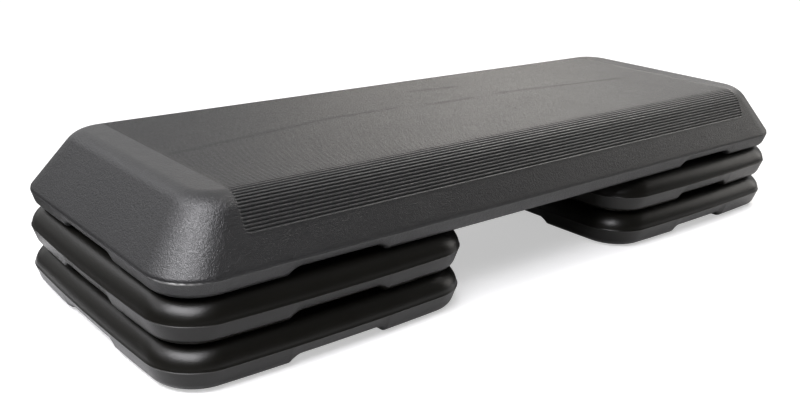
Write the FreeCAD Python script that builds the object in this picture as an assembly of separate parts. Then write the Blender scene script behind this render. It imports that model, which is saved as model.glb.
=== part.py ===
"""Aerobic step: a ribbed platform stacked on two pairs of square risers.

Every moulding is a hollow, twin-walled, blow-moulded body with push-in rubber feet.
Millimetres, +Z up, +X along the platform, origin on the floor under its centre.
"""
import FreeCAD, Part
import math
import os

V = FreeCAD.Vector
UP = V(0, 0, 1)

# Platform, measured at its parting line, where the two halves of the mould met
PLATFORM_LENGTH = 1092.2
PLATFORM_WIDTH = 408.0
PLATFORM_CORNER_R = 57.5
PLATFORM_SKIRT = 19.9
PLATFORM_SKIRT_LEAN = 6.0
PLATFORM_RIM_R = 11.0
PLATFORM_WALL = 3.6

# Parting lip: a low upright band that runs all round above the parting line
LIP_HEIGHT = 3.4
LIP_STEP = 0.8

# Deck: height above the parting line, and how far each slope leans in to reach it
DECK_RISE = 72.3
END_LEAN = 51.6
SIDE_LEAN = 38.9
DECK_CORNER_R = 33.3
DECK_SHOULDER_R = 23.0

# Grip ribs: grooves along the platform, over the deck and down both long slopes
RIB_PITCH = 4.4
GROOVE_WIDTH = 1.7
GROOVE_FLOOR = 0.9
GROOVE_DEPTH = 1.1
RIBS_START_ABOVE_PARTING = 34.3
SMOOTH_END = 93.1

# Risers: square, a little wider than the platform, and set a little past its ends.
# Their sides bow out slightly, and all of it is measured at their parting line.
RISER_SIDE_OVERHANG = 4.0
RISER_END_OVERHANG = 6.1
RISER_SIDE_R = 3400.0
RISER_CORNER_R = 59.5
RISER_PITCH = 50.8
RISER_PARTING = 25.4
RISER_SKIRT_LEAN = 8.0
RISER_RIM_R = 14.0
RISER_SHOULDER_LEAN = 12.0
RISER_SHOULDER_R = 17.0
RISER_WALL = 3.0

# Nesting: a raised square on each riser's top fits a recess in what stands on it
BOSS_SIZE = 300.0
BOSS_HEIGHT = 12.0
BOSS_CORNER_R = 40.0
BOSS_DRAFT = 1.2
BOSS_EDGE_R = 4.0
NEST_CLEARANCE = 1.5
NEST_HEADROOM = 2.0

# Finger gaps in the middle of each side's rim
FINGER_MOUTH = 132.0
FINGER_TOP = 102.0
FINGER_HEIGHT = 8.0
FINGER_CORNER_R = 6.0

# Middle recess under the platform, between the two risers
MIDDLE_RECESS_LENGTH = 250.0

# Kiss-offs: tapered slots where the lower wall is pushed up and welded to the upper one
KISS_LENGTH = 100.0
KISS_WIDTH = 32.0
KISS_TAPER = 7.0
KISS_END_FLAT = 1.0
KISS_WELD = 1.6
PLATFORM_KISS_ROW = 92.0
RISER_KISS_ROW = 76.0
RISER_KISS_COLUMN = 72.0

# Push-in rubber feet, set in from a riser's sides, and the sockets that take them on its top
FOOT_INSET = 51.0
FOOT_RADIUS = 13.0
FOOT_PROUD = 2.0
FOOT_SEAT_DEPTH = 3.0
FOOT_SEAT_CLEARANCE = 0.3
FOOT_EDGE_R = 0.8
STEM_RADIUS = 4.0
STEM_CLEARANCE = 0.15
BARB_RADIUS = 6.0
BARB_LENGTH = 5.0
BARB_TIP_RADIUS = 3.0
SOCKET_CLEARANCE = 1.0
SOCKET_HEADROOM = 0.3

# How far a cutting shape runs past the face that it opens
OVERCUT = 2.0

RISER_SIZE = PLATFORM_WIDTH + 2 * RISER_SIDE_OVERHANG
RISER_SPACING = PLATFORM_LENGTH + 2 * RISER_END_OVERHANG - RISER_SIZE
FOOT_SPACING = RISER_SIZE - 2 * FOOT_INSET
LOWER_RIM_Z = FOOT_PROUD
UPPER_RIM_Z = LOWER_RIM_Z + RISER_PITCH
PLATFORM_RIM_Z = UPPER_RIM_Z + RISER_PITCH
PLATFORM_HEIGHT = PLATFORM_SKIRT + DECK_RISE
NEST_DEPTH = BOSS_HEIGHT + NEST_HEADROOM
FOOT_POST_R = FOOT_RADIUS + FOOT_SEAT_CLEARANCE + max(PLATFORM_WALL, RISER_WALL)
FOOT_WELL_R = FOOT_POST_R + NEST_CLEARANCE
SIDES = {"left": -1, "right": 1}
DEPTHS = {"front": -1, "rear": 1}


def arc(centre, radius, start, end):
    """An arc edge about a vertical axis, from angle start to angle end in radians."""
    points = []
    for angle in (start, (start + end) / 2, end):
        points.append(centre + V(radius * math.cos(angle), radius * math.sin(angle), 0))
    return Part.Arc(*points).toShape()


def rounded_rectangle(half_x, half_y, radius, z):
    """Plan outline with straight sides and round corners."""
    edges = []
    for quarter in range(4):
        turn = quarter * math.pi / 2
        sign_x = 1 if quarter in (0, 3) else -1
        sign_y = 1 if quarter in (0, 1) else -1
        centre = V(sign_x * (half_x - radius), sign_y * (half_y - radius), z)
        edges.append(arc(centre, radius, turn, turn + math.pi / 2))
    outline = []
    for quarter in range(4):
        following = edges[(quarter + 1) % 4]
        outline.append(edges[quarter])
        outline.append(Part.makeLine(edges[quarter].Vertexes[-1].Point, following.Vertexes[0].Point))
    return Part.Wire(outline)


def bowed_square(half, side_r, corner_r, z):
    """Plan outline whose sides are long arcs, tangent to the round corners."""
    side_centre = half - side_r
    corner = (side_centre + math.sqrt(2 * (side_r - corner_r) ** 2 - side_centre ** 2)) / 2
    swing = math.atan2(corner, corner - side_centre)
    edges = []
    for quarter in range(4):
        turn = quarter * math.pi / 2
        spin = FreeCAD.Rotation(UP, math.degrees(turn))
        edges.append(arc(spin.multVec(V(side_centre, 0, z)), side_r, turn - swing, turn + swing))
        middle = spin.multVec(V(corner, corner, z))
        edges.append(arc(middle, corner_r, turn + swing, turn + math.pi / 2 - swing))
    return Part.Wire(edges)


def between(lower, upper):
    """Solid with straight walls from one outline to another."""
    return Part.makeLoft([lower, upper], True, True)


def round_loop(solid, z, radius):
    """Round every edge that lies flat at height z."""
    loop = []
    for edge in solid.Edges:
        if abs(edge.BoundBox.ZMin - z) < 1e-4 and abs(edge.BoundBox.ZMax - z) < 1e-4:
            loop.append(edge)
    return solid.makeFillet(radius, loop)


def block(half_x, half_y, radius, low, high, draft):
    """Upright block with round corners, drawn in by the draft at its high end."""
    top = rounded_rectangle(half_x - draft, half_y - draft, radius - draft, high)
    return between(rounded_rectangle(half_x, half_y, radius, low), top)


def moved(shape, x, y, z):
    """A copy of the shape, shifted."""
    copy = shape.copy()
    copy.translate(V(x, y, z))
    return copy


def disc(x, y, radius, low, high):
    """Upright cylinder between two heights."""
    return Part.makeCylinder(radius, high - low, V(x, y, low))


def finger_gap(rim_half, grow):
    """Prism with sloped ends that cuts one finger gap in the rim on the -Y side.

    rim_half is how far the rim reaches. grow makes the gap larger, to keep a wall round it.
    """
    mouth = FINGER_MOUTH / 2 + grow
    top = FINGER_TOP / 2 + grow
    height = FINGER_HEIGHT + grow
    slope = (mouth - top) / height
    start = -rim_half - OVERCUT
    points = [
        V(-mouth - slope * OVERCUT, start, -OVERCUT),
        V(-top, start, height),
        V(top, start, height),
        V(mouth + slope * OVERCUT, start, -OVERCUT),
    ]
    face = Part.Face(Part.makePolygon(points + points[:1]))
    prism = face.extrude(V(0, rim_half + OVERCUT - BOSS_SIZE / 2 + OVERCUT, 0))
    corners = []
    for edge in prism.Edges:
        if abs(edge.BoundBox.ZMin - height) < 1e-6 and edge.BoundBox.YLength > 1:
            corners.append(edge)
    return prism.makeFillet(FINGER_CORNER_R + grow, corners)


def corners():
    """Each foot's name and place about the middle of a riser."""
    places = {}
    for depth_name, depth in DEPTHS.items():
        for side_name, side in SIDES.items():
            places[f"{depth_name}_{side_name}"] = (side * FOOT_SPACING / 2, depth * FOOT_SPACING / 2)
    return places


def recess_block(half_x, half_y, grow):
    """Recess in an underside, with its mouth at the rim."""
    return block(half_x + grow, half_y + grow, BOSS_CORNER_R + NEST_CLEARANCE + grow,
                 -OVERCUT, NEST_DEPTH + grow, BOSS_DRAFT)


def nest_recess(grow):
    """Recess that takes the boss below, and leaves a post round any foot that it reaches."""
    half = BOSS_SIZE / 2 + NEST_CLEARANCE
    posts = []
    for x, y in corners().values():
        posts.append(disc(x, y, FOOT_POST_R - grow, -2 * OVERCUT, NEST_DEPTH + grow + OVERCUT))
    return recess_block(half, half, grow).cut(posts)


def kiss_off(top, grow):
    """Tapered slot from the recess ceiling up to the height top."""
    half_width = KISS_WIDTH / 2 + grow
    return block(KISS_LENGTH / 2 + grow, half_width, half_width - KISS_END_FLAT / 2,
                 NEST_DEPTH - OVERCUT, top + grow, KISS_TAPER)


def foot_seat(x, y, wall):
    """Pocket under a rim for one foot, with the hole for its stem through the wall."""
    pocket = disc(x, y, FOOT_RADIUS + FOOT_SEAT_CLEARANCE, -OVERCUT, FOOT_SEAT_DEPTH)
    hole = disc(x, y, STEM_RADIUS + STEM_CLEARANCE, FOOT_SEAT_DEPTH - OVERCUT,
                FOOT_SEAT_DEPTH + wall + OVERCUT)
    return pocket.fuse(hole)


def foot_seat_wall(x, y, wall):
    """Space that a foot's pocket and the wall round it take from the hollow."""
    return disc(x, y, FOOT_RADIUS + FOOT_SEAT_CLEARANCE + wall, 0, FOOT_SEAT_DEPTH + wall)


def socket(x, y, grow):
    """Shallow dish on a riser's top for a foot of the piece above."""
    depth = FOOT_PROUD + SOCKET_HEADROOM + grow
    return disc(x, y, FOOT_RADIUS + SOCKET_CLEARANCE + grow, RISER_PITCH - depth,
                RISER_PITCH + OVERCUT)


def riser_form(inset):
    """A riser's solid form, drawn inset inside its real surface, with its rim at z = 0."""
    half = RISER_SIZE / 2 - inset
    side_r = RISER_SIDE_R - inset
    corner_r = RISER_CORNER_R - inset

    def outline(lean, z):
        return bowed_square(half - lean, side_r - lean, corner_r - lean, z)

    top = RISER_PITCH - inset
    parting = outline(0, RISER_PARTING)
    lower = round_loop(between(outline(RISER_SKIRT_LEAN, inset), parting), inset, RISER_RIM_R - inset)
    upper = round_loop(between(parting, outline(RISER_SHOULDER_LEAN, top)), top, RISER_SHOULDER_R - inset)
    boss_top = top + BOSS_HEIGHT
    boss_half = BOSS_SIZE / 2 - inset
    boss = block(boss_half, boss_half, BOSS_CORNER_R - inset, RISER_PARTING, boss_top, BOSS_DRAFT)
    boss = round_loop(boss, boss_top, BOSS_EDGE_R - inset)
    wells = []
    for x, y in corners().values():
        wells.append(disc(x, y, FOOT_WELL_R + inset, top, boss_top + OVERCUT))
    return lower.fuse([upper, boss.cut(wells)])


def riser_cuts(grow):
    """Everything that is hollowed into a riser from outside, enlarged by grow."""
    cuts = [nest_recess(grow)]
    gap = finger_gap(RISER_SIZE / 2, grow)
    for quarter in range(4):
        turned = gap.copy()
        turned.rotate(V(0, 0, 0), UP, quarter * 90)
        cuts.append(turned)
    kiss_top = RISER_PITCH + BOSS_HEIGHT - KISS_WELD * RISER_WALL
    for x in (-RISER_KISS_COLUMN, RISER_KISS_COLUMN):
        for y in (-RISER_KISS_ROW, RISER_KISS_ROW):
            cuts.append(moved(kiss_off(kiss_top, grow), x, y, 0))
    for x, y in corners().values():
        cuts.append(socket(x, y, grow))
    return cuts


def riser():
    """One hollow riser with its rim at z = 0."""
    hollow = riser_form(RISER_WALL).cut(riser_cuts(RISER_WALL))
    hollow = hollow.cut([foot_seat_wall(x, y, RISER_WALL) for x, y in corners().values()])
    body = riser_form(0).cut(riser_cuts(0))
    body = body.cut(hollow)
    return body.cut([foot_seat(x, y, RISER_WALL) for x, y in corners().values()])


def platform_form(inset):
    """The platform's solid form, drawn inset inside its real surface, with its rim at z = 0."""
    half_x = PLATFORM_LENGTH / 2 - inset
    half_y = PLATFORM_WIDTH / 2 - inset
    corner_r = PLATFORM_CORNER_R - inset

    def outline(lean, z):
        return rounded_rectangle(half_x - lean, half_y - lean, corner_r - lean, z)

    top = PLATFORM_HEIGHT - inset
    lip_top = PLATFORM_SKIRT + LIP_HEIGHT
    deck = rounded_rectangle(half_x - END_LEAN, half_y - SIDE_LEAN, DECK_CORNER_R - inset, top)
    skirt = between(outline(PLATFORM_SKIRT_LEAN, inset), outline(0, PLATFORM_SKIRT))
    skirt = round_loop(skirt, inset, PLATFORM_RIM_R - inset)
    lip = between(outline(0, PLATFORM_SKIRT), outline(0, lip_top))
    slopes = round_loop(between(outline(LIP_STEP, lip_top), deck), top, DECK_SHOULDER_R - inset)
    return skirt.fuse([lip, slopes])


def platform_cuts(grow):
    """Everything that is hollowed into the platform from below, enlarged by grow."""
    recess = nest_recess(grow)
    cuts = [recess_block(MIDDLE_RECESS_LENGTH / 2, BOSS_SIZE / 2 + NEST_CLEARANCE, grow)]
    kiss_top = PLATFORM_HEIGHT - KISS_WELD * PLATFORM_WALL
    for centre in (-RISER_SPACING / 2, 0, RISER_SPACING / 2):
        for row in (-PLATFORM_KISS_ROW, 0, PLATFORM_KISS_ROW):
            cuts.append(moved(kiss_off(kiss_top, grow), centre, row, 0))
    front_gap = finger_gap(PLATFORM_WIDTH / 2, grow)
    end_gap = finger_gap(PLATFORM_LENGTH / 2 - RISER_SPACING / 2, grow)
    for side in SIDES.values():
        centre = side * RISER_SPACING / 2
        cuts.append(moved(recess, centre, 0, 0))
        end = end_gap.copy()
        end.rotate(V(0, 0, 0), UP, side * 90)
        cuts.append(moved(end, centre, 0, 0))
        for turn in (0, 180):
            gap = front_gap.copy()
            gap.rotate(V(0, 0, 0), UP, turn)
            cuts.append(moved(gap, centre, 0, 0))
    return cuts


def slope_profile():
    """Lean angle, rounding centre and deck edge of the long slopes, seen along the platform."""
    foot_y = PLATFORM_WIDTH / 2 - LIP_STEP
    foot_z = PLATFORM_SKIRT + LIP_HEIGHT
    lean = math.atan2(SIDE_LEAN - LIP_STEP, PLATFORM_HEIGHT - foot_z)
    centre_z = PLATFORM_HEIGHT - DECK_SHOULDER_R
    face_y = foot_y - (centre_z - foot_z) * math.tan(lean)
    centre_y = face_y - DECK_SHOULDER_R / math.cos(lean)
    return lean, centre_y, centre_z


def groove(y, z, angle):
    """One grip groove at a point of the deck's section whose outward normal is at angle to +Y."""
    out = V(0, math.cos(angle), math.sin(angle))
    along = V(0, -math.sin(angle), math.cos(angle))
    half_length = PLATFORM_LENGTH / 2 - SMOOTH_END
    mouth = GROOVE_WIDTH / 2
    floor = GROOVE_FLOOR / 2
    middle = V(-half_length, y, z)
    widen = (mouth - floor) / GROOVE_DEPTH * OVERCUT
    points = [
        middle + along * (mouth + widen) + out * OVERCUT,
        middle + along * floor - out * GROOVE_DEPTH,
        middle - along * floor - out * GROOVE_DEPTH,
        middle - along * (mouth + widen) + out * OVERCUT,
    ]
    return Part.Face(Part.makePolygon(points + points[:1])).extrude(V(2 * half_length, 0, 0))


def grooves():
    """Grooves at an even pitch, from the middle of the deck out and down each long slope."""
    lean, centre_y, centre_z = slope_profile()
    arc_length = DECK_SHOULDER_R * (math.pi / 2 - lean)
    lowest_z = PLATFORM_SKIRT + RIBS_START_ABOVE_PARTING
    tangent_y = centre_y + DECK_SHOULDER_R * math.cos(lean)
    tangent_z = centre_z + DECK_SHOULDER_R * math.sin(lean)
    total = centre_y + arc_length + (tangent_z - lowest_z) / math.cos(lean)
    cuts = []
    for step in range(int(total / RIB_PITCH - 0.5) + 1):
        run = (step + 0.5) * RIB_PITCH
        if run <= centre_y:
            y, z, angle = run, PLATFORM_HEIGHT, math.pi / 2
        elif run <= centre_y + arc_length:
            angle = math.pi / 2 - (run - centre_y) / DECK_SHOULDER_R
            y = centre_y + DECK_SHOULDER_R * math.cos(angle)
            z = centre_z + DECK_SHOULDER_R * math.sin(angle)
        else:
            down = run - centre_y - arc_length
            y, z, angle = tangent_y + down * math.sin(lean), tangent_z - down * math.cos(lean), lean
        cuts.append(groove(y, z, angle))
        cuts.append(groove(-y, z, math.pi - angle))
    return cuts


def platform_feet():
    """Each platform foot's name and place."""
    places = {}
    for end_name, end in SIDES.items():
        for corner_name, (x, y) in corners().items():
            places[f"platform_{end_name}_end_{corner_name}_foot"] = (x + end * RISER_SPACING / 2, y)
    return places


def platform():
    """The hollow platform with its rim at z = 0."""
    spots = platform_feet().values()
    hollow = platform_form(PLATFORM_WALL).cut(platform_cuts(PLATFORM_WALL))
    hollow = hollow.cut([foot_seat_wall(x, y, PLATFORM_WALL) for x, y in spots])
    body = platform_form(0).cut(grooves())
    body = body.cut(platform_cuts(0))
    body = body.cut(hollow)
    return body.cut([foot_seat(x, y, PLATFORM_WALL) for x, y in spots])


def foot(wall):
    """Rubber foot with a barbed stem, its flange seated at z = FOOT_SEAT_DEPTH."""
    flange = disc(0, 0, FOOT_RADIUS, -FOOT_PROUD, FOOT_SEAT_DEPTH)
    flange = round_loop(flange, -FOOT_PROUD, FOOT_EDGE_R)
    barb_start = FOOT_SEAT_DEPTH + wall + STEM_CLEARANCE
    stem = disc(0, 0, STEM_RADIUS, FOOT_SEAT_DEPTH, barb_start)
    barb = Part.makeCone(BARB_RADIUS, BARB_TIP_RADIUS, BARB_LENGTH, V(0, 0, barb_start))
    return flange.fuse([stem, barb])


def write(name, shape, x, y, z):
    """Save one piece where it belongs, as one clean solid."""
    solids = moved(shape.removeSplitter(), x, y, z).Solids
    if len(solids) != 1 or not solids[0].isValid():
        raise ValueError(f"{name} is not one sound solid: {len(solids)} found")
    solids[0].exportStep(f"parts/{name}.step")
    box = solids[0].BoundBox
    print(f"{name}: {solids[0].Volume / 1000:.1f} cm3, z {box.ZMin:.1f} to {box.ZMax:.1f}")


def main():
    os.makedirs("parts", exist_ok=True)
    riser_shape = riser()
    riser_foot = foot(RISER_WALL)
    for side_name, side in SIDES.items():
        centre = side * RISER_SPACING / 2
        for level, rim_z in (("lower", LOWER_RIM_Z), ("upper", UPPER_RIM_Z)):
            write(f"{side_name}_{level}_riser", riser_shape, centre, 0, rim_z)
            for corner_name, (x, y) in corners().items():
                name = f"{side_name}_{level}_{corner_name}_foot"
                write(name, riser_foot, centre + x, y, rim_z)
    write("platform", platform(), 0, 0, PLATFORM_RIM_Z)
    platform_foot = foot(PLATFORM_WALL)
    for name, (x, y) in platform_feet().items():
        write(name, platform_foot, x, y, PLATFORM_RIM_Z)


main()
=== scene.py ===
# %% [markdown]
# # An aerobic step on two pairs of risers
#
# The object is a long grey platform that stands on two stacks of square black risers. Every large piece is a
# hollow blow moulding: a tube of hot plastic was closed between two mould halves and blown out against them.
# That leaves soft radii everywhere, a parting line round the outside and a grain that was etched into the
# mould.
#
# The CAD model already has the sizes, so it comes in first as a fixed frame. The looks are then built round
# it, in metres and in the same frame.

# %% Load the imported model
import math

import bmesh
import bpy
from mathutils import Matrix, Vector, noise


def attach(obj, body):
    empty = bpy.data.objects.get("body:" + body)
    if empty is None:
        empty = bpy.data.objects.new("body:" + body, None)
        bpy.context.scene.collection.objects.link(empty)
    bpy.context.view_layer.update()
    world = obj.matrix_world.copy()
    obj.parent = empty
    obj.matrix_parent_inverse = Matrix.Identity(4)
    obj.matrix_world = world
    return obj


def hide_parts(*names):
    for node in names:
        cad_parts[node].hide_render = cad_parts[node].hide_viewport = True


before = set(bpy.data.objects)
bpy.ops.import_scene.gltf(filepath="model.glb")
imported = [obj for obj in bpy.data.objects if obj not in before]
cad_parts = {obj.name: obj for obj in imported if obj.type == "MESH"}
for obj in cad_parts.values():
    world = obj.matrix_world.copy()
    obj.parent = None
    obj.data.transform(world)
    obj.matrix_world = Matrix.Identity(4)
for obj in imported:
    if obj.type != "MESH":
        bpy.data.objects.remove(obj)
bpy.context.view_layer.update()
MM = 0.001

# %% [markdown]
# ## The camera
#
# The photograph was taken from the front left, a little above the deck. The parting lines of the platform and
# of the four risers are good rulers: they are level, their corners show, and the risers repeat at an even
# height. A least-squares fit of those corners gave the angles, the distance and the focal length below.
#
# The camera could be aimed with a Track To constraint, but the fit has a small roll too, so its matrix is
# built from its three axes.

# %% Camera from the fitted angles
AZIMUTH, ELEVATION, ROLL = (math.radians(angle) for angle in (-40.65, 19.68, 2.26))
AIM = Vector((-93.2, 0.0, 56.25)) * MM
DISTANCE = 1323.31 * MM
SENSOR_MM, LENS_MM = 36.0, 42.459
back = Vector((math.sin(AZIMUTH) * math.cos(ELEVATION), -math.cos(AZIMUTH) * math.cos(ELEVATION),
               math.sin(ELEVATION)))
level_right = Vector((math.cos(AZIMUTH), math.sin(AZIMUTH), 0.0))
level_up = back.cross(level_right)
right = level_right * math.cos(ROLL) + level_up * math.sin(ROLL)
up = level_up * math.cos(ROLL) - level_right * math.sin(ROLL)
axes = Matrix((right, up, back)).transposed().to_4x4()
camera_data = bpy.data.cameras.new("photo_camera")
camera_data.sensor_fit = "HORIZONTAL"
camera_data.sensor_width = SENSOR_MM
camera_data.lens = LENS_MM
camera = bpy.data.objects.new("photo_camera", camera_data)
camera.matrix_world = Matrix.Translation(AIM + back * DISTANCE) @ axes
bpy.context.scene.collection.objects.link(camera)
bpy.context.scene.camera = camera
print("camera at", [round(value, 3) for value in camera.matrix_world.translation])

# %% [markdown]
# ## Colours and nodes
#
# Colours are written as sRGB hex values, as an eyedropper would give them, and one function turns them to the
# linear numbers that the shader wants. A second small function adds any node with its settings, its values
# and its links, so that each material below reads as a list of what feeds what.

# %% Colour and node helpers
def linear(hex_colour):
    """Linear RGBA of an sRGB hex colour."""
    channels = []
    for start in (1, 3, 5):
        value = int(hex_colour[start:start + 2], 16) / 255
        channels.append(value / 12.92 if value <= 0.04045 else ((value + 0.055) / 1.055) ** 2.4)
    return (*channels, 1.0)


def add_node(tree, kind, values=None, links=None, **settings):
    """One node with its settings, the values of its free sockets and what feeds the others.

    A link comes from a socket, or from a node's first output.
    """
    node = tree.nodes.new(kind)
    for name, value in settings.items():
        setattr(node, name, value)
    for socket, value in (values or {}).items():
        node.inputs[socket].default_value = value
    for socket, source in (links or {}).items():
        output = source.outputs[0] if isinstance(source, bpy.types.Node) else source
        tree.links.new(output, node.inputs[socket])
    return node


def empty_material(name):
    """A new material with a cleared node tree, and that tree."""
    material = bpy.data.materials.new(name)
    material.use_nodes = True
    material.node_tree.nodes.clear()
    return material, material.node_tree


print("mid grey #808080 is", round(linear("#808080")[0], 3), "in linear light")

# %% [markdown]
# ## Floor and light
#
# The background of the photograph is pure white, with the floor bouncing light up under the rims. The skirts,
# which lean inwards, mirror a pale floor close to the object, but the slopes of the risers, which mirror the
# floor further away, are dark. So the floor is a matt sheet that is pale round the object and grey further
# out: a painted pool of light, for the lamps' light that falls off away from the object. Camera rays see an
# extra glow on it, which grows as the grey does and lifts it to white without putting more light on the
# object. Close to the object the glow is weak, so its shadow stays. Glossy rays get a small part of it.
#
# The left sides of the risers are darkest, as if a dark card lay at the left rear. So there the floor is
# painted a dark grey from 5 cm outwards, as painted shade, but not to the camera.

# %% Pale floor
FOOTPRINT = (0.55, 0.21, 0.0)  # half the length and half the width of the object, in metres
LEFT_REAR = (-0.7, 0.71, 0.0)
GLOSSY_SHARE = 0.06
FLOOR_HALF = 9  # metres
FLOOR_DROP = 0.2  # mm below the soles, so that floor and soles don't share a plane

floor_material, tree = empty_material("matt_pale_floor")
paths = add_node(tree, "ShaderNodeLightPath").outputs
place = add_node(tree, "ShaderNodeTexCoord").outputs["Object"]
spread = add_node(tree, "ShaderNodeVectorMath", links={0: place}, operation="ABSOLUTE")
beyond = add_node(tree, "ShaderNodeVectorMath", {1: FOOTPRINT}, {0: spread}, operation="SUBTRACT")
beyond = add_node(tree, "ShaderNodeVectorMath", {1: (0.0, 0.0, 0.0)}, {0: beyond}, operation="MAXIMUM")
away = add_node(tree, "ShaderNodeVectorMath", links={0: beyond}, operation="LENGTH").outputs["Value"]
# Painted pool of light: the floor is pale near the object and grey further out, except where the camera's
# glow hides it.
painted_falloff = add_node(tree, "ShaderNodeMapRange", {"From Min": 0.02, "From Max": 0.3}, {"Value": away})
tone = add_node(tree, "ShaderNodeMix", {"A": linear("#dedede"), "B": linear("#7c7c7c")}, {"Factor": painted_falloff},
                data_type="RGBA").outputs["Result"]

seen = add_node(tree, "ShaderNodeMath", links={0: paths["Is Camera Ray"], 1: paths["Is Transmission Ray"]},
                operation="MAXIMUM")
# Painted shade: a dark grey patch of floor at the left rear, for all rays but the camera's.
left_rear = add_node(tree, "ShaderNodeVectorMath", {1: LEFT_REAR}, {0: place},
                     operation="DOT_PRODUCT").outputs["Value"]
left_rear_shade = add_node(tree, "ShaderNodeMapRange", {"From Min": 0.3, "From Max": 0.45}, {"Value": left_rear})
clear = add_node(tree, "ShaderNodeMapRange", {"From Min": 0.05, "From Max": 0.12}, {"Value": away})
left_rear_shade = add_node(tree, "ShaderNodeMath", links={0: left_rear_shade, 1: clear}, operation="MULTIPLY")
left_rear_shade = add_node(tree, "ShaderNodeMath", links={0: left_rear_shade, 1: seen}, operation="SUBTRACT", use_clamp=True)
tone = add_node(tree, "ShaderNodeMix", {"B": linear("#484848")}, {"Factor": left_rear_shade, "A": tone},
                data_type="RGBA").outputs["Result"]

matt = add_node(tree, "ShaderNodeBsdfDiffuse", links={"Color": tone})
glowing = add_node(tree, "ShaderNodeMath", {1: GLOSSY_SHARE}, {0: paths["Is Glossy Ray"], 2: seen},
                   operation="MULTIPLY_ADD")
lift = add_node(tree, "ShaderNodeMapRange", {"From Min": 0.05, "From Max": 0.3, "To Min": 0.5, "To Max": 1.0},
                {"Value": away})
glow_level = add_node(tree, "ShaderNodeMath", links={0: glowing, 1: lift}, operation="MULTIPLY")
glow = add_node(tree, "ShaderNodeEmission", links={"Strength": glow_level})
both = add_node(tree, "ShaderNodeAddShader", links={0: matt, 1: glow})
add_node(tree, "ShaderNodeOutputMaterial", links={"Surface": both})

floor_corners = [(FLOOR_HALF * x, FLOOR_HALF * y, -FLOOR_DROP * MM)
                 for x, y in ((-1, -1), (1, -1), (1, 1), (-1, 1))]
floor_mesh = bpy.data.meshes.new("floor")
floor_mesh.from_pydata(floor_corners, [], [(0, 1, 2, 3)])
floor_mesh.materials.append(floor_material)
floor = bpy.data.objects.new("floor", floor_mesh)
bpy.context.scene.collection.objects.link(floor)
print("the floor is", 2 * FLOOR_HALF, "m wide")

# %% [markdown]
# The room itself is not white all round. The deck, seen at a low angle, mirrors something bright behind it,
# while the front of the risers mirrors a dark room. So the world is bright towards the rear and fades to dim
# at the front. Only the camera sees it as white all over.

# %% The room
BRIGHT_SIDE = Vector((0.46, 0.84, 0.40)).normalized()
DIM_LIGHT = 0.04
BRIGHT_SHARE = 0.88  # its square is the light of the bright side, so that it fades softly

world = bpy.data.worlds.new("white_room")
world.use_nodes = True
tree = world.node_tree
tree.nodes.clear()
paths = add_node(tree, "ShaderNodeLightPath").outputs
seen = add_node(tree, "ShaderNodeMath", links={0: paths["Is Camera Ray"], 1: paths["Is Transmission Ray"]},
                operation="MAXIMUM")
towards = add_node(tree, "ShaderNodeTexCoord").outputs["Generated"]
facing = add_node(tree, "ShaderNodeVectorMath", {1: BRIGHT_SIDE}, {0: towards},
                  operation="DOT_PRODUCT").outputs["Value"]
share = add_node(tree, "ShaderNodeMapRange", {"From Min": -0.05, "From Max": 0.95, "To Max": BRIGHT_SHARE},
                 {"Value": facing})
room_light = add_node(tree, "ShaderNodeMath", {2: DIM_LIGHT}, {0: share, 1: share}, operation="MULTIPLY_ADD")
strength = add_node(tree, "ShaderNodeMath", links={0: seen, 1: room_light}, operation="MAXIMUM")
room = add_node(tree, "ShaderNodeBackground", {"Color": linear("#ffffff")}, {"Strength": strength})
add_node(tree, "ShaderNodeOutputWorld", links={"Surface": room})
bpy.context.scene.world = world
bpy.context.scene.view_settings.view_transform = "Standard"
print("the room is bright towards", [round(value, 2) for value in BRIGHT_SIDE])

# %% [markdown]
# One bright streak runs down the near left corner of the platform, and each riser has a soft spot at the same
# corner. Mirroring the view direction about those corners puts the main lamp to the left, a little to the
# front and about 50 degrees up. It is a wide rectangle, as a softbox is, so that the streak has soft edges.
#
# The weaker lamps were found the same way, from the surfaces that mirror them. The plain left end asks for
# one at the left rear, the sheen on the deck for a low one behind the far end, the bright ribs on the right
# for a high one on that side, and the slopes of the right risers for a low one.

# %% Softboxes
def softbox(name, direction, distance, size, watts, colour):
    """An area lamp of a width and height in metres that looks at the middle of the object."""
    lamp = bpy.data.lights.new(name, "AREA")
    lamp.shape = "RECTANGLE"
    lamp.size, lamp.size_y = size
    lamp.energy = watts
    lamp.color = linear(colour)[:3]
    thing = bpy.data.objects.new(name, lamp)
    away = Vector(direction).normalized()
    facing = away.to_track_quat("Z", "Y").to_matrix().to_4x4()
    thing.matrix_world = Matrix.Translation(AIM + away * distance) @ facing
    thing.visible_camera = False
    bpy.context.scene.collection.objects.link(thing)


softbox("main_softbox", (-0.578, -0.242, 0.779), 2.55, (2.0, 1.1), 88.0, "#fcfbff")
softbox("left_softbox", (-0.64, 0.52, 0.64), 2.6, (2.6, 1.0), 15.0, "#fcfbff")
softbox("far_softbox", (0.65, 0.71, 0.30), 1.9, (1.0, 0.55), 2.5, "#ffeedd")
softbox("side_softbox", (0.72, 0.04, 0.69), 2.0, (1.0, 0.7), 21.0, "#fffbf6")
softbox("low_softbox", (0.94, -0.26, 0.22), 2.6, (1.0, 1.0), 6.0, "#fffbf6")

# %% [markdown]
# ## Plastics and rubber
#
# The platform is high-density polyethylene (HDPE), coloured charcoal all through and blown against an etched
# mould. That gives the eye a leathery grain of cells about 2 mm wide, a broad waxy highlight and slight
# clouds in the colour from uneven pigment. An image texture could hold the grain, but Voronoi cells have no
# seams and keep their real size, so the creases between cells are taken from the distance to the nearest cell
# edge.
#
# Three values that depend on the place on the moulding come from the mesh: how deep a point lies in a groove,
# where the plastic shrank into a faint streak, and where the parting line has pale torn flash. The first two
# darken the colour as painted shade: in the grooves, and along the streaks, whose shallow dents are not
# modelled.

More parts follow.
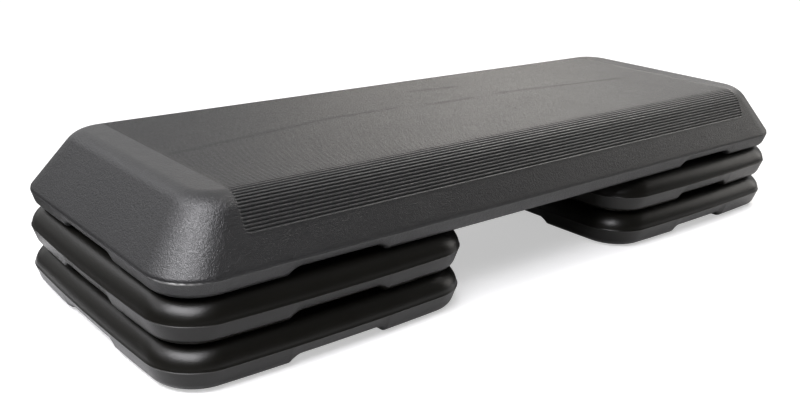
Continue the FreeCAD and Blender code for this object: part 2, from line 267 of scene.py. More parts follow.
# %% Charcoal HDPE with a leather grain
ROLL_WIDTH, CELL_BEND, CREASE_WIDTH = 1.6, 0.9, 0.22  # as shares of a cell of the grain
CLOUD_MM, RUBBED_MM, RUBBED_SPREAD = 70, 18, 0.05


def leather_grain(tree, cell_mm, crease_mm, roll_mm):
    """Height in mm of an etched leather grain: flat cells with creases, on a skin that rolls a little."""
    place = add_node(tree, "ShaderNodeTexCoord").outputs["Object"]
    wander = add_node(tree, "ShaderNodeTexNoise", {"Scale": 1 / (ROLL_WIDTH * cell_mm * MM), "Detail": 2.0},
                      {"Vector": place})
    shift = add_node(tree, "ShaderNodeVectorMath", {1: (CELL_BEND * cell_mm * MM,) * 3},
                     {0: wander.outputs["Color"]}, operation="MULTIPLY")
    bent = add_node(tree, "ShaderNodeVectorMath", links={0: place, 1: shift}, operation="ADD")
    cells = add_node(tree, "ShaderNodeTexVoronoi", {"Scale": 1 / (cell_mm * MM)}, {"Vector": bent},
                     feature="DISTANCE_TO_EDGE")
    plateau = add_node(tree, "ShaderNodeMapRange", {"From Min": 0.0, "From Max": CREASE_WIDTH},
                       {"Value": cells.outputs["Distance"]}, interpolation_type="SMOOTHSTEP")
    rolling = add_node(tree, "ShaderNodeMath", {1: roll_mm}, {0: wander.outputs["Fac"]}, operation="MULTIPLY")
    return add_node(tree, "ShaderNodeMath", {1: crease_mm}, {0: plateau, 2: rolling},
                    operation="MULTIPLY_ADD")


def moulded_hdpe(name, dark, light, grain, roughness, ior, marks):
    """Pigmented HDPE from an etched mould. A mark on it is (attribute, colour, strength, dulling)."""
    material, tree = empty_material(name)
    place = add_node(tree, "ShaderNodeTexCoord").outputs["Object"]
    clouds = add_node(tree, "ShaderNodeTexNoise", {"Scale": 1 / (CLOUD_MM * MM), "Detail": 4.0},
                      {"Vector": place}).outputs["Fac"]
    colour = add_node(tree, "ShaderNodeMix", {"A": linear(dark), "B": linear(light)}, {"Factor": clouds},
                      data_type="RGBA").outputs["Result"]
    rubbed = add_node(tree, "ShaderNodeTexNoise", {"Scale": 1 / (RUBBED_MM * MM), "Detail": 3.0},
                      {"Vector": place}).outputs["Fac"]
    dull = add_node(tree, "ShaderNodeMapRange",
                    {"To Min": roughness - RUBBED_SPREAD, "To Max": roughness + RUBBED_SPREAD},
                    {"Value": rubbed})
    # A mark mixes its colour in: painted shade for the grooves and sink streaks, the pale colour of flash and
    # scuff.
    for attribute, mark_colour, strength, dulling in marks:
        share = add_node(tree, "ShaderNodeAttribute", attribute_name=attribute).outputs["Fac"]
        amount = add_node(tree, "ShaderNodeMath", {1: strength}, {0: share}, operation="MULTIPLY")
        colour = add_node(tree, "ShaderNodeMix", {"B": linear(mark_colour)}, {"Factor": amount, "A": colour},
                          data_type="RGBA").outputs["Result"]
        dull = add_node(tree, "ShaderNodeMath", {1: dulling}, {0: share, 2: dull}, operation="MULTIPLY_ADD")
    relief = add_node(tree, "ShaderNodeBump", {"Strength": 1.0, "Distance": MM},
                      {"Height": leather_grain(tree, *grain)})
    plastic = add_node(tree, "ShaderNodeBsdfPrincipled", {"IOR": ior},
                       {"Base Color": colour, "Roughness": dull, "Normal": relief})
    add_node(tree, "ShaderNodeOutputMaterial", links={"Surface": plastic})
    return material


# HDPE has an IOR of about 1.54 and, with such a grain, a roughness of 0.4 or so. The IOR was raised until the
# sheen on the deck matched, and the roughness until the streak was as wide as in the photo.
# The groove and sink marks below are painted shade; the flash mark is the pale colour of torn flash.
charcoal_hdpe = moulded_hdpe(
    "charcoal_hdpe_leather_grain", "#1b1b1c", "#202021", grain=(2.0, 0.11, 0.38), roughness=0.41, ior=1.64,
    marks=(("groove", "#101010", 0.6, 0.1), ("sink", "#101010", 0.5, 0.12), ("flash", "#e6e6e3", 1.0, 0.2)))
print("made", charcoal_hdpe.name)

# %% [markdown]
# The risers are HDPE too, black and from a mould with a finer grain, so they shine a little more. The grain
# is about 0.7 mm wide on such a moulding. It is drawn 1.2 mm wide here, so that it still shows in the render.
# Their IOR ends up well under 1.54, because the spots on their corners are weak. Two marks come from the mesh
# again: faint flash on the parting line and one small scuff.
#
# The feet are black rubber, moulded with a dull skin: almost no highlight, and a fine sandy surface.

# %% Black HDPE and rubber
BLOOM_MM, SAND_MM, SAND_HEIGHT_MM = 9, 0.4, 0.02

black_hdpe = moulded_hdpe(
    "black_hdpe_fine_grain", "#100f0c", "#141310", grain=(1.2, 0.02, 0.04), roughness=0.31, ior=1.42,
    marks=(("flash", "#6a6a68", 0.25, 0.1), ("scuff", "#5a5a57", 0.7, 0.2)))
foot_rubber, tree = empty_material("moulded_black_rubber")
place = add_node(tree, "ShaderNodeTexCoord").outputs["Object"]
bloom = add_node(tree, "ShaderNodeTexNoise", {"Scale": 1 / (BLOOM_MM * MM), "Detail": 3.0},
                 {"Vector": place}).outputs["Fac"]
colour = add_node(tree, "ShaderNodeMix", {"A": linear("#151515"), "B": linear("#222120")}, {"Factor": bloom},
                  data_type="RGBA").outputs["Result"]
sand = add_node(tree, "ShaderNodeTexNoise", {"Scale": 1 / (SAND_MM * MM), "Detail": 2.0},
                {"Vector": place}).outputs["Fac"]
sandy = add_node(tree, "ShaderNodeBump", {"Strength": 1.0, "Distance": SAND_HEIGHT_MM * MM}, {"Height": sand})
dull = add_node(tree, "ShaderNodeMapRange", {"To Min": 0.72, "To Max": 0.86}, {"Value": bloom})
rubber = add_node(tree, "ShaderNodeBsdfPrincipled", {"IOR": 1.52},
                  {"Base Color": colour, "Roughness": dull, "Normal": sandy})
add_node(tree, "ShaderNodeOutputMaterial", links={"Surface": rubber})
print("made", black_hdpe.name, "and", foot_rubber.name)

# %% [markdown]
# ## Rings: how a blow moulding is built
#
# Both mouldings are stacks of level outlines that grow, shrink and round off from the top down to the rim. A
# cube with bevels could not follow slopes that lean differently on the sides and the ends, so each outline is
# a ring of points, and faces join each ring to the next. Point number 5, say, is at the same spot of the
# outline in every ring of a piece, so that the faces run straight down the walls.
#
# A ring goes anticlockwise seen from above, side by side: front, right end, rear, left end. A place on a side
# is its distance from the side's middle in millimetres. Places that carry a detail stay where they are from
# ring to ring, and only the rest of the side stretches.

# %% Rings of points
OUTWARD = (Vector((0, -1, 0)), Vector((1, 0, 0)), Vector((0, 1, 0)), Vector((-1, 0, 0)))
CORNER_STEPS = 22
LEAST_SLOT_R, LEAST_CORNER_R = 0.2, 0.5


def blend(start, end, share):
    """Value between start and end."""
    return start + (end - start) * share


def limited(value):
    """Value kept between 0 and 1."""
    return min(max(value, 0.0), 1.0)


def places_along(half, spacing, details):
    """Even places along a side and the places of its details, with mirror images."""
    marks = sorted({sign * detail for detail in details for sign in (-1, 1)})
    count = 2 * math.ceil(half / spacing)
    even = [blend(-half, half, step / count) for step in range(count + 1)]
    clear = [place for place in even
             if abs(place) == half or all(abs(place - mark) > spacing / 4 for mark in marks)]
    return sorted(clear + marks)


def ring_places(sides):
    """(side number, place on it) of every point of a ring, with no place at the corners' points."""
    listed = []
    for number in range(4):
        listed += [(number, place) for place in sides[number % 2]]
        listed += [(number, None)] * (CORNER_STEPS - 1)
    return listed


def rounded_ring(half_x, half_y, radius, z, sides, kept=(0.0, 0.0)):
    """Ring with straight sides and round corners. Places up to kept on a side don't stretch."""
    points = []
    for number, out in enumerate(OUTWARD):
        along = OUTWARD[(number + 1) % 4]
        reach, half = (half_y, half_x) if number % 2 == 0 else (half_x, half_y)
        places, still = sides[number % 2], kept[number % 2]
        stretch = (half - radius - still) / (places[-1] - still)
        for place in places:
            moved = place
            if abs(place) > still:
                moved = math.copysign(still + (abs(place) - still) * stretch, place)
            points.append(out * reach + along * moved + Vector((0, 0, z)))
        middle = out * (reach - radius) + along * (half - radius)
        for step in range(1, CORNER_STEPS):
            turn = math.pi / 2 * step / CORNER_STEPS
            spoke = (out * math.cos(turn) + along * math.sin(turn)) * radius
            points.append(middle + spoke + Vector((0, 0, z)))
    return points


print("a plain ring has", len(rounded_ring(2, 1, 0.5, 0, ((-1.5, 1.5), (-0.5, 0.5)))), "points")

# %% [markdown]
# Profiles run down a wall as (inset, height) corners. On a moulding each corner is an arc, so one function
# rounds them. Another joins the rings into a closed mesh, and a third cuts closed shapes out of it: recesses,
# pockets and the deep slots where the lower wall was pushed up against the upper one. A Boolean keeps those
# edges crisp, and the Manifold solver is quick and exact on closed meshes.

# %% Profiles, meshes and cuts
def soften(corners, steps=7):
    """Profile points with every inner corner (inset, height, radius) turned into an arc."""
    profile = [Vector(corners[0][:2])]
    for before, corner, after in zip(corners, corners[1:], corners[2:]):
        here = Vector(corner[:2])
        towards = (Vector(before[:2]) - here).normalized()
        onward = (Vector(after[:2]) - here).normalized()
        half_angle = towards.angle(onward) / 2
        centre = here + (towards + onward).normalized() * corner[2] / math.sin(half_angle)
        start = here + towards * corner[2] / math.tan(half_angle) - centre
        end = here + onward * corner[2] / math.tan(half_angle) - centre
        sweep = start.angle_signed(end)
        for step in range(steps + 1):
            turn = -sweep * step / steps
            profile.append(centre + Matrix.Rotation(turn, 2) @ start)
    return profile + [Vector(corners[-1][:2])]


def stack(mesh, rings, top_cap, used=None):
    """Join rings of points, highest first, into one closed shell, in metres. top_cap lists the top's faces.

    used lists the numbers of the points that each ring needs. A ring needs no fewer than the ring above it.
    """
    used = used or [range(len(rings[0]))] * len(rings)
    rows = []
    for ring, numbers in zip(rings, used):
        rows.append({number: mesh.verts.new(ring[number] * MM) for number in numbers})
    for upper, lower in zip(rows, rows[1:]):
        above, below = list(upper), list(lower)
        position = {number: place for place, number in enumerate(below)}
        for number, following in zip(above, above[1:] + above[:1]):
            start, end = position[number], position[following]
            end += len(below) if end < start else 0
            strip = [lower[below[place % len(below)]] for place in range(start, end + 1)]
            mesh.faces.new([upper[number], *strip, upper[following]])
    for face in top_cap:
        mesh.faces.new([rows[0][number] for number in face])
    mesh.faces.new(list(reversed(rows[-1].values())))


def piece(name, mesh, material):
    """Object from a bmesh, which is freed."""
    data = bpy.data.meshes.new(name)
    mesh.normal_update()
    mesh.to_mesh(data)
    mesh.free()
    data.materials.append(material)
    made = bpy.data.objects.new(name, data)
    bpy.context.scene.collection.objects.link(made)
    return made


def cut_out(body, shapes):
    """Cut closed shapes, each a list of rings, out of a piece."""
    mesh = bmesh.new()
    for rings in shapes:
        stack(mesh, rings, [range(len(rings[0]))])
    cutter = piece("cutter", mesh, body.data.materials[0])
    cut = body.modifiers.new("cut", "BOOLEAN")
    cut.operation, cut.solver, cut.object = "DIFFERENCE", "MANIFOLD", cutter
    shaped = bpy.data.meshes.new_from_object(body.evaluated_get(bpy.context.evaluated_depsgraph_get()))
    body.modifiers.clear()
    body.data = shaped
    bpy.data.objects.remove(cutter)


def slot_shape(x, y, half_x, half_y, radius, profile):
    """Rings of an upright cutting shape whose (inset, height) profile runs from its top down."""
    side = (-1.0, -0.5, 0.5, 1.0)
    rings = []
    for inset, z in profile:
        corner_r = max(radius - inset, LEAST_SLOT_R)
        ring = rounded_ring(half_x - inset, half_y - inset, corner_r, z, (side, side))
        rings.append([point + Vector((x, y, 0)) for point in ring])
    return rings


print("an arc corner has", len(soften([(0, 1), (0, 0, 0.3), (1, 0)])), "profile points")

# %% [markdown]
# ## Finger gaps
#
# In the middle of each rim there is a gap for the fingers, 132 mm wide at the floor and about 102 mm wide on
# top, 8 mm high. It was moulded with the rim, so the skirt's round lower edge follows it up and down. Cutting
# it with a block would leave a knife edge. Instead every ring of the skirt is lifted in the gap, most at the
# rim and not at all at the parting line.

# %% Lift of the rim
FINGER_MOUTH, FINGER_TOP, FINGER_HEIGHT, FINGER_ROUNDNESS = 132.0, 102.0, 8.0, 1.7
FINGER_DETAILS = (40.0, 45.0, 48.0, 50.0, 51.5, 53.0, 55.0, 57.5, 60.0, 62.0, 63.5, 65.0, 66.0, 67.0)


def finger_lift(distance):
    """Height of the rim at a distance from the middle of a gap: steep at the foot and round at the top."""
    share = limited((FINGER_MOUTH / 2 - abs(distance)) / (FINGER_MOUTH / 2 - FINGER_TOP / 2))
    return FINGER_HEIGHT * (1 - (1 - share) ** FINGER_ROUNDNESS)


def lifted(z, lift, parting):
    """Height of a skirt point once the rim below it is lifted."""
    return lift + z * (parting - lift) / parting if z < parting else z


print("lift in mm across half a gap:", [round(finger_lift(distance), 1) for distance in (50, 55, 60, 65, 66)])

# %% [markdown]
# ## Risers
#
# Each riser is a square with slightly bowed sides. From the top down it has a raised square that nests in the
# piece above, a shelf, a soft shoulder, a slope out to the parting line with its thin bead of flash, a skirt
# that leans back in, and a round rim. Below it are the nesting recess, four welded slots and four foot
# pockets. The shelf has a shallow dish for each foot of the piece above.
#
# Sizes are in millimetres. An inset is measured inwards from the outline at the parting line, or from the
# outline of the raised square.

# %% Riser shell
RISER_SIZE, RISER_SIDE_R, RISER_CORNER_R = 416.0, 3400.0, 59.5
RISER_TOP, RISER_PARTING = 50.8, 25.4
RISER_SIDE_HALF, RISER_SIDE_STEP = 147.9, 12.0
RISER_SHOULDER_INSET, RISER_SHOULDER_R, CORNER_TIGHTENING = 5.0, 27.0, 0.25
RISER_SKIRT_LEAN, RISER_RIM_R, RISER_RIM_WIDTH, RISER_UNDERSIDE_INSET = 8.0, 14.0, 58.5, 64.0
SEAM_INSET, SEAM_ABOVE, SEAM_BELOW = 0.3, 0.7, 1.0
SEAM_BEAD = ((0.1, 0.45), (-0.2, 0.2), (-0.2, -0.1), (0.1, -0.4))
BOSS_TOP, BOSS_HALF, BOSS_CORNER_R = 62.8, 150.0, 40.0
BOSS_DRAFT, BOSS_EDGE_R, BOSS_FOOT_R = 1.2, 4.0, 2.5


def bowed_ring(inset, z, sides):
    """Ring whose sides are long arcs, tangent to round corners, which tighten less above the parting line."""
    half, side_r = RISER_SIZE / 2 - inset, RISER_SIDE_R - inset
    tightening = CORNER_TIGHTENING if z > RISER_PARTING else 1.0
    corner_r = max(RISER_CORNER_R - inset * tightening, LEAST_CORNER_R)
    middle = half - side_r
    corner = (middle + math.sqrt(2 * (side_r - corner_r) ** 2 - middle ** 2)) / 2
    swing = math.atan2(corner, corner - middle)
    points = []
    for number, out in enumerate(OUTWARD):
        along = OUTWARD[(number + 1) % 4]
        for place in sides[0]:
            angle = swing * place / sides[0][-1]
            points.append(out * (middle + side_r * math.cos(angle)) + along * side_r * math.sin(angle))
        for step in range(1, CORNER_STEPS):
            turn = blend(swing, math.pi / 2 - swing, step / CORNER_STEPS)
            points.append((out + along) * corner + (out * math.cos(turn) + along * math.sin(turn)) * corner_r)
    return [point + Vector((0, 0, z)) for point in points]


def riser_rings():
    """All rings of a riser, from the raised square down to the middle of its underside."""
    side = places_along(RISER_SIDE_HALF, RISER_SIDE_STEP, FINGER_DETAILS)
    sides = (side, side)
    rings = []
    # A corner that is dropped again only says which way a flat runs.
    boss = soften([(30, BOSS_TOP), (BOSS_DRAFT, BOSS_TOP, BOSS_EDGE_R),
                   (0, RISER_TOP, BOSS_FOOT_R), (-20, RISER_TOP)])[1:-1]
    for inset, z in boss:
        rings.append(rounded_ring(BOSS_HALF - inset, BOSS_HALF - inset, BOSS_CORNER_R - inset, z, sides))
    slope = soften([(45, RISER_TOP), (RISER_SHOULDER_INSET, RISER_TOP, RISER_SHOULDER_R),
                    (SEAM_INSET, RISER_PARTING + SEAM_ABOVE)], 14)[1:]
    bead = [Vector((inset, RISER_PARTING + rise)) for inset, rise in SEAM_BEAD]
    skirt = soften([(SEAM_INSET, RISER_PARTING - SEAM_BELOW), (RISER_SKIRT_LEAN, 0, RISER_RIM_R),
                    (RISER_RIM_WIDTH, 0)], 9)
    for inset, z in slope + bead + skirt:
        rings.append(bowed_ring(inset, z, sides))
    spots = ring_places(sides)
    for ring in rings:
        for point, (_, place) in zip(ring, spots):
            if point.z < RISER_PARTING and place is not None:
                point.z = lifted(point.z, finger_lift(place), RISER_PARTING)
    rings.append(bowed_ring(RISER_UNDERSIDE_INSET, 0.0, sides))
    return rings


RISER_RINGS = riser_rings()
print("a riser has", len(RISER_RINGS), "rings of", len(RISER_RINGS[0]), "points")

# %% [markdown]
# The nesting recess, the welded slots and the foot pockets are alike on the risers and the platform, so each
# is made by a function. The slots run up until only a thin wall is left.

# %% Cutting shapes that risers and platform share
NEST_DEPTH, NEST_HALF, NEST_CORNER_R = 14.0, 151.5, 41.5
NEST_DRAFT, NEST_CEILING_R, NEST_MOUTH_R, NEST_FLARE = 1.2, 3.0, 3.5, 3.6
SLOT_HALF_X, SLOT_HALF_Y, SLOT_CORNER_R = 50.0, 16.0, 15.5
SLOT_TAPER, SLOT_EDGE_R, SLOT_FLARE = 7.0, 3.0, 3.1
FOOT_PLACE, FOOT_POCKET_R, FOOT_POCKET_DEPTH, POCKET_CHAMFER = 157.0, 13.3, 3.0, 0.5
SOCKET_R, SOCKET_DEPTH, SOCKET_DRAFT, SOCKET_CHAMFER = 14.0, 2.3, 0.2, 0.6
NEST_MIDDLE, SLOT_MIDDLE = 30, 15  # insets of the innermost ring of a ceiling
OUTSIDE = -9  # inset of a corner that only says which way the skin runs
CUT_PAST = 2.0  # how far a cutting shape goes on past the skin
ROUNDEST = 0.05  # how far a round cut's corner radius stays under its half width


def recess_shape(x, half_x):
    """Nesting recess with a rolled mouth and a soft ceiling edge."""
    profile = soften([(NEST_MIDDLE, NEST_DEPTH), (NEST_DRAFT, NEST_DEPTH, NEST_CEILING_R),
                      (0, 0, NEST_MOUTH_R), (OUTSIDE, 0)])[:-1]
    past = Vector((-NEST_FLARE, -CUT_PAST))
    return slot_shape(x, 0, half_x, NEST_HALF, NEST_CORNER_R, profile + [past])


def welded_slot(x, y, top):
    """Tapered slot from the ceiling of a recess up to where the two walls were welded."""
    profile = soften([(SLOT_MIDDLE, top), (SLOT_TAPER, top, SLOT_EDGE_R),
                      (0, NEST_DEPTH, SLOT_EDGE_R), (OUTSIDE, NEST_DEPTH)])[:-1]
    past = Vector((-SLOT_FLARE, NEST_DEPTH - CUT_PAST))
    return slot_shape(x, y, SLOT_HALF_X, SLOT_HALF_Y, SLOT_CORNER_R, profile + [past])


def foot_pocket(x, y):
    """Round pocket under the rim for the flange of a foot."""
    edge = POCKET_CHAMFER
    profile = [(edge, FOOT_POCKET_DEPTH), (0.0, FOOT_POCKET_DEPTH - edge), (0.0, edge), (-edge, 0.0),
               (-edge, -CUT_PAST)]
    return slot_shape(x, y, FOOT_POCKET_R, FOOT_POCKET_R, FOOT_POCKET_R - ROUNDEST, profile)


def socket_dish(x, y):
    """Shallow round dish on the shelf of a riser for a foot of the piece above."""
    edge, floor_z = SOCKET_CHAMFER, RISER_TOP - SOCKET_DEPTH
    profile = [(-edge, RISER_TOP + CUT_PAST), (-edge, RISER_TOP), (0.0, RISER_TOP - edge),
               (SOCKET_DRAFT, floor_z + edge), (SOCKET_DRAFT + edge, floor_z)]
    return slot_shape(x, y, SOCKET_R, SOCKET_R, SOCKET_R - ROUNDEST, profile)


FOOT_PLACES = [(x, y) for y in (-FOOT_PLACE, FOOT_PLACE) for x in (-FOOT_PLACE, FOOT_PLACE)]
print("feet of a riser at", FOOT_PLACES)

# %% [markdown]
# No moulding is perfectly flat. It shrinks as it cools and its walls sag by a tenth of a millimetre or two
# over the width of a hand, which bends reflections. A slow noise moves the skin along its normals, but not at
# the rims and shelves, where the pieces rest on each other.

# %% Shrinkage
SAG, SAG_WIDTH, SAG_FADE = 0.16, 85.0, 5.0


def shrink(body, low, high):
    """Move the skin between two heights slightly in and out, and fade that out towards them."""
    mesh = bmesh.new()
    mesh.from_mesh(body.data)
    mesh.normal_update()
    moves = []
    for vertex in mesh.verts:
        z = vertex.co.z / MM
        fade = limited(min(z - low, high - z) / SAG_FADE)
        moves.append(vertex.normal * (SAG * MM * fade * noise.noise(vertex.co / (SAG_WIDTH * MM))))
    for vertex, move in zip(mesh.verts, moves):
        vertex.co += move
    mesh.to_mesh(body.data)
    mesh.free()


def smooth(body, degrees):
    """Smooth shading with sharp edges where faces meet at more than an angle."""
    body.data.shade_smooth()
    body.data.set_sharp_from_angle(angle=math.radians(degrees))


def mark(body, name, rule):
    """Store one value per vertex, worked out from its place in millimetres."""
    values = [rule(vertex.co / MM) for vertex in body.data.vertices]
    body.data.attributes.new(name, "FLOAT", "POINT").data.foreach_set("value", values)


def fade_out(distance, width):
    """Strength of a mark at a distance from its middle: 1 there, and fading out over a width."""
    return math.exp(-(distance / width) ** 2)


print("skins sag by up to", SAG, "mm")

# %% [markdown]
# All four risers come from the same rings, so one function makes a riser in its place and gives it to its CAD
# body. The lower left riser has one small scuff near its front left corner. The scuff's place is given in the
# frame of the whole object, so the other three risers get none.

# %% Four risers
RISER_SPACING, RISER_BASE = 688.4, {"lower": 2.0, "upper": 52.8}
RISER_SLOT_TOP = 58.0
RISER_SLOTS = [(x, y) for x in (-72, 72) for y in (-76, 76)]
RISER_SAG = (8, 48)
RISER_FLASH_WIDTH, RISER_FLASH_WAVE = 0.4, 9
SCUFF_PLACE, SCUFF_WIDTH = Vector((-552.0, -136.0, 41.0)), 4


def riser(side, level):
    """One riser in its place, riding on its CAD body."""
    x = RISER_SPACING / 2 * (-1 if side == "left" else 1)
    base = RISER_BASE[level]
    parting = base + RISER_PARTING
    mesh = bmesh.new()
    stack(mesh, RISER_RINGS, [range(len(RISER_RINGS[0]))])
    body = piece(f"{side}_{level}_moulding", mesh, black_hdpe)
    cut_out(body, [recess_shape(0, NEST_HALF)] + [socket_dish(*spot) for spot in FOOT_PLACES])
    slots = [welded_slot(*spot, RISER_SLOT_TOP) for spot in RISER_SLOTS]
    cut_out(body, slots + [foot_pocket(*spot) for spot in FOOT_PLACES])
    body.data.transform(Matrix.Translation(Vector((x, 0, base)) * MM))
    shrink(body, base + RISER_SAG[0], base + RISER_SAG[1])
    mark(body, "flash", lambda at: fade_out(at.z - parting, RISER_FLASH_WIDTH)
         * (0.5 + 0.5 * noise.noise(at / RISER_FLASH_WAVE)))
    mark(body, "scuff", lambda at: fade_out((at - SCUFF_PLACE).length, SCUFF_WIDTH))
    smooth(body, degrees=40)
    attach(body, f"{side}_{level}")
    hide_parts(f"{side}_{level}_riser")
    return body


for side in ("left", "right"):
    for level in ("lower", "upper"):
        made = riser(side, level)
        print(made.name, len(made.data.polygons), "faces")

# %% [markdown]
# ## Platform
#
# Seen from the end, the platform's top is flat in the middle, turns over a round shoulder and goes down a
# slope to the lip at the parting line. Grip grooves run along all of that at an even spacing, so the natural
# ruler is the distance walked from the middle of the deck outwards and down. The ends lean more than the
# sides and stay plain.

# %% Section of the platform
PLATFORM_LENGTH, PLATFORM_WIDTH, PLATFORM_CORNER_R = 1092.2, 408.0, 57.5
PLATFORM_PARTING, LIP_TOP, LIP_STEP, DECK_TOP = 19.9, 23.3, 0.8, 92.2
SIDE_LEAN, END_LEAN, DECK_CORNER_R, SIDE_SHOULDER_R, END_SHOULDER_R = 38.9, 51.6, 27.5, 30.0, 26.0
SIDE_ANGLE = math.atan2(SIDE_LEAN - LIP_STEP, DECK_TOP - LIP_TOP)
END_ANGLE = math.atan2(END_LEAN - LIP_STEP, DECK_TOP - LIP_TOP)


def slope_reach(half, angle, z):
    """How far a plain slope reaches at a height, from the middle of the platform."""
    return half - LIP_STEP - (z - LIP_TOP) * math.tan(angle)


def flat_reach(half, angle, radius):
    """How far the flat of the deck reaches before a shoulder of a radius turns over into a slope."""
    return slope_reach(half, angle, DECK_TOP) - radius * math.tan(math.pi / 4 - angle / 2)


FLAT_Y = flat_reach(PLATFORM_WIDTH / 2, SIDE_ANGLE, SIDE_SHOULDER_R)
FLAT_X = flat_reach(PLATFORM_LENGTH / 2, END_ANGLE, END_SHOULDER_R)
SIDE_CENTRE_Z, END_CENTRE_Z = DECK_TOP - SIDE_SHOULDER_R, DECK_TOP - END_SHOULDER_R
SHOULDER_RUN = SIDE_SHOULDER_R * (math.pi / 2 - SIDE_ANGLE)
SLOPE_TOP_Y = FLAT_Y + SIDE_SHOULDER_R * math.cos(SIDE_ANGLE)
SLOPE_TOP_Z = SIDE_CENTRE_Z + SIDE_SHOULDER_R * math.sin(SIDE_ANGLE)
RUN_TO_LIP = FLAT_Y + SHOULDER_RUN + (SLOPE_TOP_Z - LIP_TOP) / math.cos(SIDE_ANGLE)


def section(run):
    """(distance from the middle, height, angle of the outward normal) at a run over the long side."""
    if run <= FLAT_Y:
        return run, DECK_TOP, math.pi / 2
    if run <= FLAT_Y + SHOULDER_RUN:
        angle = math.pi / 2 - (run - FLAT_Y) / SIDE_SHOULDER_R
        out, rise = SIDE_SHOULDER_R * math.cos(angle), SIDE_SHOULDER_R * math.sin(angle)
        return FLAT_Y + out, SIDE_CENTRE_Z + rise, angle
    down = run - FLAT_Y - SHOULDER_RUN
    return SLOPE_TOP_Y + down * math.sin(SIDE_ANGLE), SLOPE_TOP_Z - down * math.cos(SIDE_ANGLE), SIDE_ANGLE


def end_reach(z):
    """How far an end reaches at a height, shoulder included."""
    if z > END_CENTRE_Z + END_SHOULDER_R * math.sin(END_ANGLE):
        return FLAT_X + math.sqrt(max(END_SHOULDER_R ** 2 - (z - END_CENTRE_Z) ** 2, 0.0))
    return slope_reach(PLATFORM_LENGTH / 2, END_ANGLE, z)


LIP_CORNER_R = PLATFORM_CORNER_R - LIP_STEP
CORNER_EASE = (DECK_CORNER_R + PLATFORM_LENGTH / 2 - LIP_STEP - FLAT_X - LIP_CORNER_R) / (DECK_TOP - LIP_TOP)


def corner_radius(half_x, z):
    """Radius of a corner: it opens fast over the shoulder and slowly down the slope, with no hollow."""
    return DECK_CORNER_R + half_x - FLAT_X - CORNER_EASE * (DECK_TOP - z)


print("flat deck", round(2 * FLAT_X), "x", round(2 * FLAT_Y), "mm, run to lip", round(RUN_TO_LIP, 1), "mm")

# %% [markdown]
# Grooves are modelled, not painted, because from low angles their dark lines come from real depth. Each one
# is eight rings: six for walls that bend, so that the ribs between the grooves are round and catch the light,
# and two for its floor. The depth fades out at the ends of the ribbed panel within 1.5 mm, the panel's lower
# corners are round, and its lower edge is a slight bead.
#
# So many rings make a heavy mesh, and most of it would be wasted: the flat needs few points round its
# corners, and only the skirt needs those of the finger gaps. So the rings get coarser from the skirt up, and
# each has only some of the numbered points.

# %% Points of the platform's rings
RIB_DETAILS = (433.0, 436.0, 439.0, 442.0, 444.5, 447.0, 449.0, 450.5, 451.5, 453.0, 453.5)
LONG_STEP, SHORT_STEP = 24.0, 14.0
SLOPE_GAPS, FLAT_GAPS = (20.0, 12.0), (20.0, 60.0)  # least gaps on the long and the short sides
FINGER_PLACES = [RISER_SPACING / 2 + sign * detail for detail in FINGER_DETAILS for sign in (-1, 1)]
LONG_DETAILS = FINGER_PLACES + list(RIB_DETAILS)
LONG_SIDE = places_along(PLATFORM_LENGTH / 2 - PLATFORM_CORNER_R, LONG_STEP, LONG_DETAILS)
SHORT_SIDE = places_along(PLATFORM_WIDTH / 2 - PLATFORM_CORNER_R, SHORT_STEP, FINGER_DETAILS)
PLATFORM_SIDES = (LONG_SIDE, SHORT_SIDE)
PLATFORM_SPOTS = ring_places(PLATFORM_SIDES)


def spaced(places, gap, details=()):
    """Distances from the middle that a coarser side keeps: the details, and others at least a gap apart."""
    kept, last = {round(places[-1], 4)}, -gap
    for place in sorted({round(abs(place), 4) for place in places}):
        if place in details or place - last >= gap:
            kept.add(place)
            last = place
    return kept


def coarse_ring(long_kept, short_kept, corner_every):
    """Numbers of the points that a coarser ring of the platform keeps."""
    numbers, step = [], 0
    for number, (side, place) in enumerate(PLATFORM_SPOTS):
        step = step + 1 if place is None else 0
        if step % corner_every == 0 and (step or round(abs(place), 4) in (long_kept, short_kept)[side % 2]):
            numbers.append(number)
    return numbers


SLOPE_LONG, SLOPE_SHORT = spaced(LONG_SIDE, SLOPE_GAPS[0], RIB_DETAILS), spaced(SHORT_SIDE, SLOPE_GAPS[1])
FLAT_LONG = spaced(sorted(SLOPE_LONG), FLAT_GAPS[0], RIB_DETAILS[-3:])
FLAT_SHORT = spaced(sorted(SLOPE_SHORT), FLAT_GAPS[1])
FLAT_POINTS = coarse_ring(FLAT_LONG, FLAT_SHORT, CORNER_STEPS // 2)
SLOPE_POINTS = coarse_ring(SLOPE_LONG, SLOPE_SHORT, 1)
SKIRT_POINTS = range(len(PLATFORM_SPOTS))
print("points of a ring: flat", len(FLAT_POINTS), "slope", len(SLOPE_POINTS), "skirt", len(SKIRT_POINTS))

# %% Rings of the platform
RIB_PITCH, GROOVE_DEPTH, DECK_DEPTH, DEEPENING = 4.03, 1.3, 0.9, 16
GROOVE_SHAPE = ((-1.4, 0.0), (-0.95, 0.28), (-0.55, 0.72), (-0.3, 1.0),
                (0.3, 1.0), (0.55, 0.72), (0.95, 0.28), (1.4, 0.0))
RIBBED_HALF, RIBBED_CORNER_R, RIBBED_RUN, PANEL_FADE = 453.0, 7.0, 205.0, 1.5
PANEL_BEAD, PANEL_BEAD_RISE = (1.9, 2.6), 0.25
STRIP_CORNER_R, FLAT_MARGIN, SLOPE_STEPS, LIP_ROUNDING = 0.4, 10, 8, 1.3
LIP_EDGE_INSET, LIP_EDGE_RISE = 0.95, 0.1
LIP_FOOT = ((0.62, 2.5), (0.42, 1.6), (0.38, 1.0), (0.42, 0.5), (0.2, 0.3), (0.1, 0.1), (0.1, -0.2),
            (0.3, -0.5), (0.3, -1.0))  # insets and heights above the parting line
